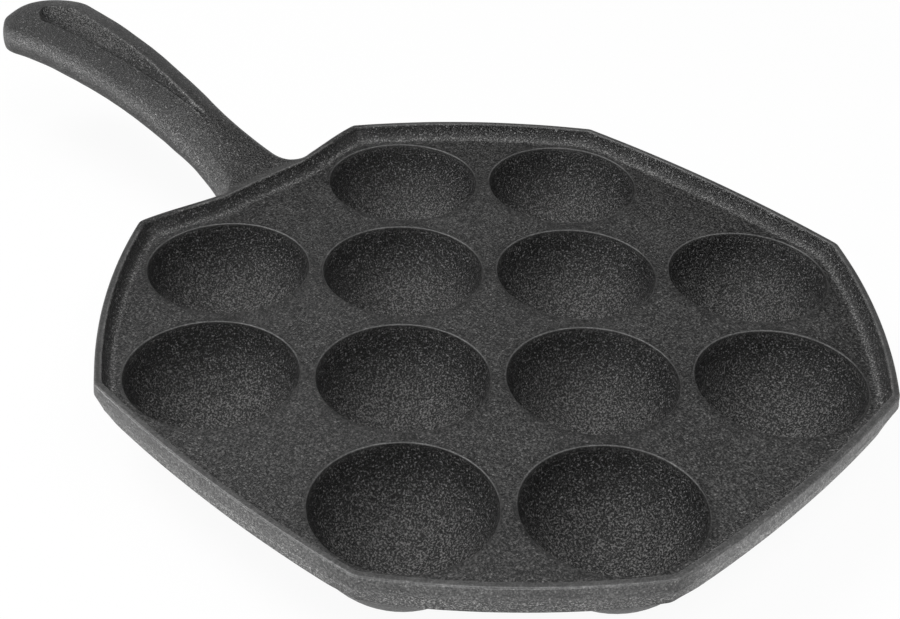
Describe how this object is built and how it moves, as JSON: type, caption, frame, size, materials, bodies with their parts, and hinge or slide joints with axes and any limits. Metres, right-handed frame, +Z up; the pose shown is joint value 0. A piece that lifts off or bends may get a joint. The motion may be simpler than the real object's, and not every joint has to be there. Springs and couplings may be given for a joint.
{
  "type": "takoyaki pan",
  "caption": "Cast-iron griddle pan with half-round wells in an eight-sided rimmed floor and an arched handle with a thumb groove.",
  "frame": {"origin": "middle of the pan's overall length and width, on the surface that its feet stand on", "axes": "+Y along the handle towards its end, +Z up out of the wells, +X to the right seen from the side away from the handle"},
  "size_m": [0.1872, 0.2971, 0.0437],
  "materials": {
    "iron": "sand-cast, oiled, matt"
  },
  "bodies": {
    "root": {"pan": "iron"}
  },
  "joints": []
}
